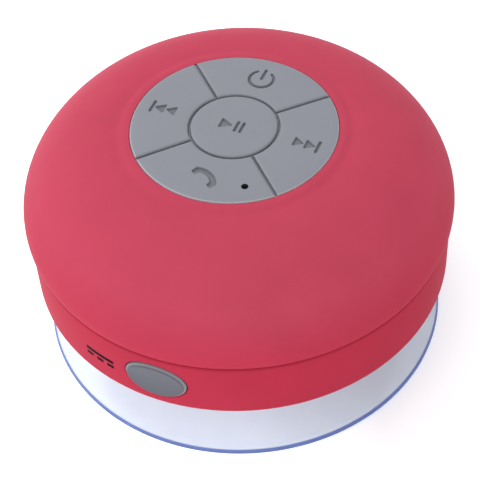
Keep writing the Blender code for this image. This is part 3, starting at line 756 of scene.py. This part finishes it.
def sector(inset, height, arc=30, side=8):
    """Outline of a quarter key, pulled in by `inset`: two arcs and two straight sides.

    `height` gives z from the radius.
    """
    inner, outer = PLAY_R + PLAY_GROOVE + inset, KEYPAD_R - inset
    edge = GROOVE_HALF + inset

    def half(radius):
        return 45.0 - math.degrees(math.asin(edge / radius))

    points = []
    for i in range(arc + 1):
        points.append(Vector(polar(inner, half(inner) * (2 * i / arc - 1))))
    for i in range(1, side):
        radius = inner + (outer - inner) * i / side
        points.append(Vector(polar(radius, half(radius))))
    for i in range(arc + 1):
        points.append(Vector(polar(outer, half(outer) * (1 - 2 * i / arc))))
    for i in range(1, side):
        radius = outer + (inner - outer) * i / side
        points.append(Vector(polar(radius, -half(radius))))
    return [(p.x, p.y, height(p.length)) for p in points]


def sector_cap(bm, row, height, arc=30, side=8):
    """Fills a sector outline with a grid that follows the crown."""
    inner = row[: arc + 1]
    right = row[arc + 1 : arc + side]
    outer = row[arc + side : 2 * arc + side + 1][::-1]
    left = row[2 * arc + side + 1 :][::-1]
    rows = [inner]
    for i in range(1, side):
        middle = []
        for k in range(1, arc):
            p = inner[k].co.to_2d().lerp(outer[k].co.to_2d(), i / side)
            middle.append(bm.verts.new((p.x, p.y, height(p.length))))
        rows.append([left[i - 1], *middle, right[i - 1]])
    rows.append(outer)
    for low, high in zip(rows, rows[1:]):
        for k in range(arc):
            bm.faces.new((low[k], low[k + 1], high[k + 1], high[k]))


def rounding(radius, steps=5):
    """Inset and drop of each ring along a quarter-round edge."""
    angles = [math.pi / 2 * i / steps for i in range(steps + 1)]
    return [(radius * (1 - math.cos(a)), radius * (1 - math.sin(a))) for a in angles]


def band(points, half=STROKE_HALF, steps=6):
    """Closed outline of a stroke with round ends along a line."""
    line = [Vector(p) for p in points]
    left, right = [], []
    for i, point in enumerate(line):
        ahead = (line[min(i + 1, len(line) - 1)] - line[max(i - 1, 0)]).normalized()
        normal = Vector((-ahead.y, ahead.x)) * half
        left.append(point + normal)
        right.append(point - normal)
    ends = []
    for point, other in ((line[-1], line[-2]), (line[0], line[1])):
        out = (point - other).normalized()
        start = math.atan2(out.y, out.x) + math.pi / 2
        angles = [start - math.pi * k / steps for k in range(1, steps)]
        ends.append([point + half * Vector((math.cos(a), math.sin(a))) for a in angles])
    return left + ends[0] + right[::-1] + ends[1]


def grown(outline, amount):
    """An outline moved outwards by `amount`, with mitred corners."""
    points = [Vector(p) for p in outline]
    area = sum(a.x * b.y - b.x * a.y for a, b in zip(points, points[1:] + points[:1]))
    sign = 1 if area > 0 else -1
    out = []
    for i, point in enumerate(points):
        a = (point - points[i - 1]).normalized()
        b = (points[(i + 1) % len(points)] - point).normalized()
        na, nb = Vector((a.y, -a.x)) * sign, Vector((b.y, -b.x)) * sign
        mitre = na + nb
        if mitre.length < 1e-6:
            out.append(point)
            continue
        mitre.normalize()
        out.append(point + mitre * amount / max(0.5, mitre.dot(na)))
    return out


def engraving(outline, depth=ENGRAVING_DEPTH):
    """A cutter with drafted walls and a chamfered mouth, whose floor lies `depth` under the crown."""
    centre = sum((Vector(p) for p in outline), Vector((0, 0))) / len(outline)
    top = crown(centre.length)
    steps = ((-0.03, -depth), (0.0, 0.06 - depth), (0.03, -0.12), (0.17, 0.02), (0.3, 0.25))
    return lofted([[(p.x, p.y, top + rise) for p in grown(outline, grow)] for grow, rise in steps])


def bar(x, y0, y1):
    """An upright stroke."""
    return band([(x, y0), (x, y1)])


def triangle(base, tip, half):
    """A triangle that points along X, with softened corners."""
    return rounded([(base, -half), (tip, 0), (base, half)], {0: 0.12, 1: 0.12, 2: 0.12}, 3)


def power_ring():
    """A ring with a gap at its top."""
    gap = 38
    points = []
    for i in range(41):
        x, y = polar(2.4, 90 + gap + (360 - 2 * gap) * i / 40)
        points.append((x, SYMBOL_CIRCLE_R + y))
    return band(points)


def handset():
    """A telephone handset: an arched grip between two square ends, tilted."""
    half = [
        (0.0, 1.55), (1.2, 1.38), (2.2, 0.95), (2.9, 0.45), (2.85, -0.75), (2.55, -0.95),
        (1.85, -0.85), (1.7, 0.0), (0.9, 0.42), (0.0, 0.56),
    ]
    outline = [(-x, y) for x, y in half[3:0:-1]] + half + [(-x, y) for x, y in half[-2:3:-1]]
    tilt = Matrix.Rotation(math.radians(-31), 2)
    return [tilt @ Vector(p) + Vector((0.05, -14.45)) for p in outline]


def symbols():
    """Outlines of the engraved symbols, by key."""
    tall, near, far, end = 1.15, (12.3, 14.2), (14.6, 16.55), 17.1
    return {
        "play": [triangle(-2.76, -0.35, 1.25), bar(0.56, -1.2, 1.2), bar(1.68, -1.2, 1.2)],
        "power": [power_ring(), bar(0, 14.3, 16.9)],
        "previous": [
            bar(-end, -1.35, 1.35),
            triangle(-far[0], -far[1], tall),
            triangle(-near[0], -near[1], tall),
        ],
        "next": [triangle(*near, tall), triangle(*far, tall), bar(end, -1.35, 1.35)],
        "phone": [handset()],
    }


def make_play_key(skins, outlines):
    """The round key in the middle."""
    pillar_r = PLAY_R - PILLAR_INSET
    rim = [(PLAY_R - inset, crown(PLAY_R - inset) - drop) for inset, drop in rounding(KEY_ROUNDING)]
    face = [(PLAY_R * t, crown(PLAY_R * t)) for t in (0.8, 0.6, 0.4, 0.2)]
    under = [(0, PIP_BOTTOM_Z), (PIP_R, PIP_BOTTOM_Z), (PIP_R, PILLAR_BOTTOM_Z)]
    under += [(pillar_r, PILLAR_BOTTOM_Z), (pillar_r, CAP_BOTTOM_Z), (PLAY_R, CAP_BOTTOM_Z)]
    key = finish_mesh("button_play_fine", turned([*under, *rim, *face, (0, crown(0))], 128), *skins)
    # The engraving's faces take the darker engraved grey, painted shade in the recesses.
    cut(key, merged([engraving(o) for o in outlines]), 1)
    place(key, "play_key", "button_play", slot="grey_silicone")


def make_quarter_key(name, angle, skins, outlines):
    """One outer key: a crowned cap with a rounded edge over a narrower pillar."""
    rings = [
        sector(PILLAR_INSET, lambda r: PILLAR_BOTTOM_Z),
        sector(PILLAR_INSET, lambda r: CAP_BOTTOM_Z),
        sector(0, lambda r: CAP_BOTTOM_Z),
    ]
    for inset, drop in rounding(KEY_ROUNDING):
        rings.append(sector(inset, lambda r, drop=drop: crown(r) - drop))
    bm = bmesh.new()
    rows = walls(bm, rings)
    sector_cap(bm, rows[0], lambda r: PILLAR_BOTTOM_Z)
    sector_cap(bm, rows[-1], crown)
    key = finish_mesh(f"button_{name}_fine", moved(bm, turn=angle), *skins)
    pip = cylinder(PIP_R, PIP_BOTTOM_Z, PILLAR_BOTTOM_Z + 0.5, polar(SWITCH_CIRCLE_R, angle), 32)
    fuse(key, pip)
    # The engraving's faces take the darker engraved grey, painted shade in the recesses.
    cut(key, merged([engraving(o) for o in outlines]), 1)
    if name == "phone":
        # The mic hole's walls take black rubber as painted shade, for the dark inside of the hole.
        hole = turned([(0, 44.0), (0.68, 44.0), (0.68, 50.0), (0.8, 51.0), (0, 51.0)], 32)
        cut(key, moved(hole, *MIC_HOLE_XY), 2)
    place(key, f"{name}_key", f"button_{name}", slot="grey_silicone")


def make_keys(mats):
    outlines = symbols()
    skins = [mats["grey"], mats["grey_engraved_shade"]]
    make_play_key(skins, outlines["play"])
    for name, angle in KEY_ANGLES.items():
        # The third skin, black rubber, paints the phone key's mic hole dark as shade.
        make_quarter_key(name, angle, [*skins, mats["rubber"]], outlines[name])


def make_web(mats):
    """Carrier sheet with the raised strips that close the grooves between the keys."""
    disc = turned([(0, 45.9), (22.9, 45.9), (22.9, 46.7), (0, 46.7)], 128)
    web = finish_mesh("keypad_web_fine", disc, mats["grey"])
    low, high = 46.3, 49.5
    inner, outer = PLAY_R + 0.06, PLAY_R + 0.36
    fuse(web, turned([(inner, low), (outer, low), (outer, high), (inner, high)], 128))
    strip = ((11.4, 0.3, 3.1), (14.45, 0, 47.85))
    fuse(web, merged([moved(box(*strip), turn=angle + 45) for angle in KEY_ANGLES.values()]))
    below, above = 45.0, 47.2
    windows = [cylinder(PLAY_R - WEB_INSET, below, above, steps=96)]
    for angle in KEY_ANGLES.values():
        rings = [sector(WEB_INSET, lambda r, z=z: z) for z in (below, above)]
        windows.append(moved(lofted(rings), turn=angle))
    cut(web, merged(windows))
    place(web, "housing", "keypad_web", slot="grey_silicone")


# ---------------------------------------------------------------- port and cup


def make_plug(mats):
    """Oval cover with a tapered insert and a bevelled face."""
    width, height = PLUG
    rings = [
        oval(4.0, 2.1, 39.6),
        oval(4.4, 2.5, 39.75),
        oval(4.7, 2.8, 41.0),
        oval(4.8, 2.9, 41.55),
        oval(width - 0.25, height - 0.25, 41.6),
        oval(width - 0.05, height - 0.05, 41.8),
        oval(width, height, 42.1),
        oval(width, height, 42.35),
    ]
    bevel = ((0.04, 42.44), (0.12, 42.52), (0.52, 42.84), (0.62, 42.89), (0.74, 42.89), (0.95, 42.83))
    rings += [oval(width - inset, height - inset, radius) for inset, radius in bevel]
    plug = finish_mesh("port_plug_fine", capped(rings), mats["plug"], sharp=40)
    place(plug, "port_flap", "port_plug", slot="grey_silicone")


def make_cup(mats):
    """Clear soft cup, with a bore in its neck that takes the hub's pin."""
    bore_r, bore_z = CUP_BORE
    neck = [(9.9, CUP_TOP_Z), (10.3, CUP_TOP_Z - 0.15), (CUP_NECK_R, 13.9)]
    top = bezier((CUP_NECK_R, 13.4), (13.5, 10.6), (30.0, 4.4), CUP_RIM_TOP, 40)
    rim = [CUP_RIM_TOP, (41.3, 1.22), (CUP_R, 0.6), (41.2, 0.0), (CUP_LIP_R, 0.0)]
    rim = rounded(rim, {1: 0.5, 2: 0.5, 3: 0.3}, 5)[1:-1]
    under = bezier((CUP_LIP_R, 0.0), (28.0, 3.6), (17.0, 8.9), (0, 9.8), 40)
    bore = [(0, bore_z), (bore_r, bore_z), (bore_r, CUP_TOP_Z)]
    cup = finish_mesh("suction_cup_fine", turned(bore + neck + top + rim + under), mats["clear"])
    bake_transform(cup)
    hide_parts("suction_cup")


def make_hub(mats):
    """Turned hub: a pin for the cup, a flange, and a stem with the clip's groove."""
    low, high = HUB_Z
    corners = [
        (0, low), (3.2, low), (3.2, 14.7), (9.0, 14.7), (9.0, 16.3), (5.1, 16.3), (5.1, 19.45),
        (4.4, 19.45), (4.4, 20.35), (5.1, 20.35), (4.7, high), (0, high),
    ]
    radii = {1: 0.3, 3: 0.4, 4: 0.25, 5: 0.15, 6: 0.1, 9: 0.1, 10: 0.3}
    hub = finish_mesh("cup_hub_fine", turned(rounded(corners, radii, 4), 96), mats["white"])
    place(hub, "hub", "cup_hub", slot="white_plastic")


# ---------------------------------------------------------------- stage


def table_material(name):
    """White acrylic table that glows as painted light, brightest on its left; the fall of the glow to the
    right paints the body's shadow under the cup.
    """
    n = Nodes(name)
    grain = n.noise(30.0, detail=2.0)
    across = n.add("ShaderNodeVectorMath", operation="DOT_PRODUCT")
    across.inputs[1].default_value = (0.906, 0.424, 0)
    n.link(n.place, across.inputs[0])
    # Painted light: the table's emission falls off to the right to paint the body's shadow under the cup.
    painted_glow = n.ramp(across.outputs["Value"], 0.85, 0.29, -2 * MM, 26 * MM)
    n.put(n.shader.inputs["Emission Color"], (0.9, 0.95, 1.0))
    n.put(n.shader.inputs["Emission Strength"], painted_glow)
    white = n.mix(grain, (0.915, 0.92, 0.92), (0.92, 0.925, 0.925))
    return n.set(colour=white, roughness=0.9, specular=0.1)


def make_table():
    bm = bmesh.new()
    bmesh.ops.create_grid(bm, x_segments=1, y_segments=1, size=3000)
    floor = finish_mesh("floor", bm, table_material("floor"))
    floor.location.z = -0.05 * MM


def make_sky():
    """Soft white surroundings, brighter on the left and above."""
    world = bpy.data.worlds.new("studio")
    bpy.context.scene.world = world
    world.use_nodes = True
    tree = world.node_tree
    background = tree.nodes["Background"]
    background.inputs["Color"].default_value = (0.97, 0.985, 1.0, 1.0)
    place_in_sky = tree.nodes.new("ShaderNodeTexCoord")
    side = tree.nodes.new("ShaderNodeVectorMath")
    side.operation = "DOT_PRODUCT"
    side.inputs[1].default_value = (-0.75, -0.4, 0.5)
    fade = tree.nodes.new("ShaderNodeMapRange")
    fade.inputs["From Min"].default_value = -1.0
    fade.inputs["To Min"].default_value = 0.72
    fade.inputs["To Max"].default_value = 1.34
    tree.links.new(place_in_sky.outputs["Generated"], side.inputs[0])
    tree.links.new(side.outputs["Value"], fade.inputs["Value"])
    tree.links.new(fade.outputs["Result"], background.inputs["Strength"])


def make_key_light():
    """A disk of light high on the left."""
    light = bpy.data.lights.new("key_light", "AREA")
    light.shape = "DISK"
    light.size = 0.35
    light.energy = 0.8
    obj = bpy.data.objects.new("key_light", light)
    bpy.context.scene.collection.objects.link(obj)
    obj.location = (-0.40, 0.08, 0.45)
    aim = Vector((0, 0, 0.02)) - obj.location
    obj.rotation_euler = aim.to_track_quat("-Z", "Y").to_euler()


def make_stage():
    make_table()
    make_sky()
    make_key_light()
    bpy.context.scene.view_settings.view_transform = "Standard"


def make_camera():
    eye = Vector(CAMERA_PLACE)
    back = (eye - Vector(CAMERA_TARGET)).normalized()
    right = Vector((0, 0, 1)).cross(back).normalized()
    up = back.cross(right)
    roll = math.radians(CAMERA_ROLL_DEG)
    x = right * math.cos(roll) - up * math.sin(roll)
    y = right * math.sin(roll) + up * math.cos(roll)
    camera = bpy.data.cameras.new("camera")
    camera.sensor_width = 36.0
    camera.lens = LENS_MM
    camera.clip_start = 0.01
    obj = bpy.data.objects.new("camera", camera)
    bpy.context.scene.collection.objects.link(obj)
    rotation = Matrix((x, y, back)).transposed()
    obj.matrix_world = Matrix.Translation(eye) @ rotation.to_4x4()
    bpy.context.scene.camera = obj


def main():
    mats = make_materials()
    make_camera()
    make_stage()
    dress_carried(mats)
    make_upper_shell(mats)
    make_lower_shell(mats)
    make_screws(mats)
    make_mark(mats)
    make_keys(mats)
    make_web(mats)
    make_plug(mats)
    make_cup(mats)
    make_hub(mats)


main()
